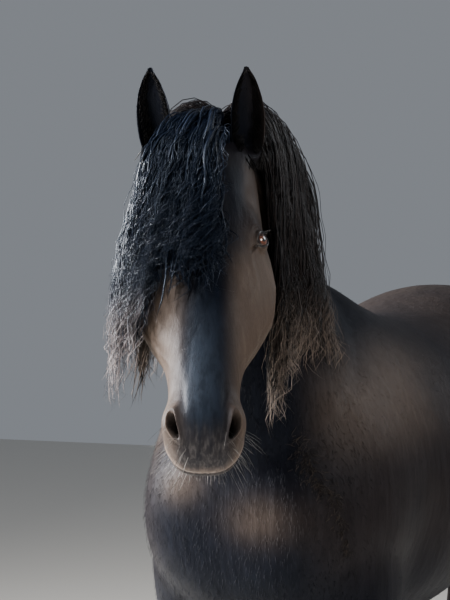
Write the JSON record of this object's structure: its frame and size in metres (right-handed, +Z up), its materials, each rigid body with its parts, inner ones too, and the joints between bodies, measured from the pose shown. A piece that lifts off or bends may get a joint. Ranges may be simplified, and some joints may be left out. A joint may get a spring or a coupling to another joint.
{
  "type": "friesian horse",
  "caption": "Black draught-type horse standing square, neck arched and head turned to its left, with long mane, forelock, tail and feathered legs.",
  "frame": {"origin": "on the ground, under the middle of the whole animal's box", "axes": "+Z up; the horse faces -Y, and its left side is +X"},
  "size_m": [0.612, 2.2561, 1.9702],
  "materials": {
    "coat": "short glossy black coat, brown in the sun and blue in the shade",
    "long_hair": "long wavy black hair",
    "eye": "wet, reddish brown",
    "hoof": "dark horn"
  },
  "bodies": {
    "root": {"head": "coat", "neck": "coat", "torso": "coat", "foreleg_left": "coat", "foreleg_right": "coat", "hindleg_left": "coat", "hindleg_right": "coat", "ear_left": "coat", "ear_right": "coat", "tail": "long_hair", "eye_left": "eye", "eye_right": "eye", "hoof_foreleg_left": "hoof", "hoof_foreleg_right": "hoof", "hoof_hindleg_left": "hoof", "hoof_hindleg_right": "hoof"}
  },
  "joints": []
}
